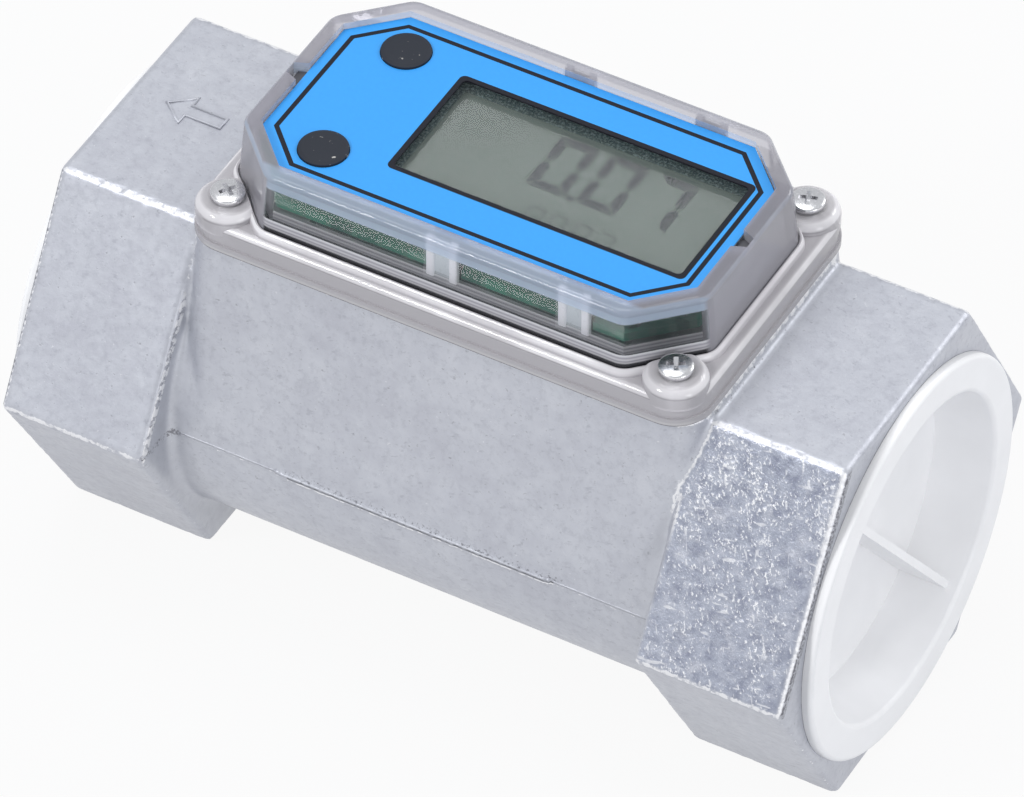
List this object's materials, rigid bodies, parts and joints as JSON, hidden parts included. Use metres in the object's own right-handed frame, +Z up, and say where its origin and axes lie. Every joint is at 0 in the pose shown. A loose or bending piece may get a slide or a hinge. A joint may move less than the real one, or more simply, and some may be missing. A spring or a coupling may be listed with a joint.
{
  "type": "turbine flow meter",
  "caption": "In-line turbine flow meter with hexagonal threaded ends, dust plugs, bladed rotor on vaned supports, and a clear display housing with label, screen and two push buttons.",
  "frame": {"origin": "centre of the footprint, at the level of the lower flats of the hexagonal ends; the pipe axis is 35 mm above it", "axes": "+X along the pipe from the outlet to the inlet, so the liquid flows along -X; +Z up through the display; +Y to the back"},
  "size_m": [0.1416, 0.0806, 0.0881],
  "materials": {
    "cast_aluminium": "sand blasted casting",
    "white_plastic": "moulded polyethylene",
    "support_plastic": "moulded, glass filled",
    "bush_carbon": "ground carbon ceramic",
    "spring_steel": "spring steel",
    "rotor_plastic": "moulded acetal",
    "ground_steel": "ground",
    "magnet_alloy": "plated",
    "black_plastic": "moulded",
    "copper_wire": "enamelled wire",
    "tinned_pins": "tinned",
    "cell_can": "printed wrap",
    "clear_plastic": "clear moulding",
    "black_rubber": "cut sheet",
    "blue_label": "printed film",
    "dark_key": "fine grain",
    "green_board": "solder mask",
    "teal_frame": "moulded",
    "strip_rubber": "contact strip",
    "display_glass": "grey green display glass",
    "zinc_steel": "bright zinc"
  },
  "bodies": {
    "meter": {"meter_body": "cast_aluminium", "inlet_support": "support_plastic", "outlet_support": "support_plastic", "inlet_bush": "bush_carbon", "outlet_bush": "bush_carbon", "inlet_retaining_ring": "spring_steel", "outlet_retaining_ring": "spring_steel", "pickup_bobbin": "black_plastic", "pickup_winding": "copper_wire", "pickup_core": "ground_steel", "pickup_pins": "tinned_pins", "battery_holder": "black_plastic", "battery_cells": "cell_can", "battery_contacts": "spring_steel", "display_base": "clear_plastic", "base_gasket": "black_rubber", "lid_seal": "black_rubber", "display_lid": "clear_plastic", "face_label": "blue_label", "display_switch": "black_plastic", "calibrate_switch": "black_plastic", "circuit_board": "green_board", "lcd_frame": "teal_frame", "lcd_contact_strips": "strip_rubber", "timing_crystal": "ground_steel", "lcd_glass": "display_glass", "controller_chip": "black_plastic", "case_screws": "zinc_steel", "board_screws": "zinc_steel"},
    "rotor": {"turbine_rotor": "rotor_plastic", "rotor_shaft": "ground_steel", "rotor_magnets": "magnet_alloy", "thrust_washers": "bush_carbon"},
    "display_key": {"display_button": "dark_key", "display_plunger": "black_plastic"},
    "calibrate_key": {"calibrate_button": "dark_key", "calibrate_plunger": "black_plastic"},
    "inlet_cover": {"inlet_plug": "white_plastic"},
    "outlet_cover": {"outlet_plug": "white_plastic"}
  },
  "joints": [
    {"name": "rotor_spin", "type": "hinge", "parent": "meter", "child": "rotor", "pos_m": [0, 0, 0.035], "axis": [1, 0, 0], "continuous": true},
    {"name": "display_button_press", "type": "slide", "parent": "meter", "child": "display_key", "axis": [0, 0, -1], "range_m": [0, 0.0005], "stiffness_N_per_m": 2000, "springref_m": -0.0005},
    {"name": "calibrate_button_press", "type": "slide", "parent": "meter", "child": "calibrate_key", "axis": [0, 0, -1], "range_m": [0, 0.0005], "stiffness_N_per_m": 2000, "springref_m": -0.0005},
    {"name": "inlet_plug_pull", "type": "slide", "parent": "meter", "child": "inlet_cover", "axis": [1, 0, 0], "range_m": [0, 0.08]},
    {"name": "outlet_plug_pull", "type": "slide", "parent": "meter", "child": "outlet_cover", "axis": [-1, 0, 0], "range_m": [0, 0.08]}
  ]
}
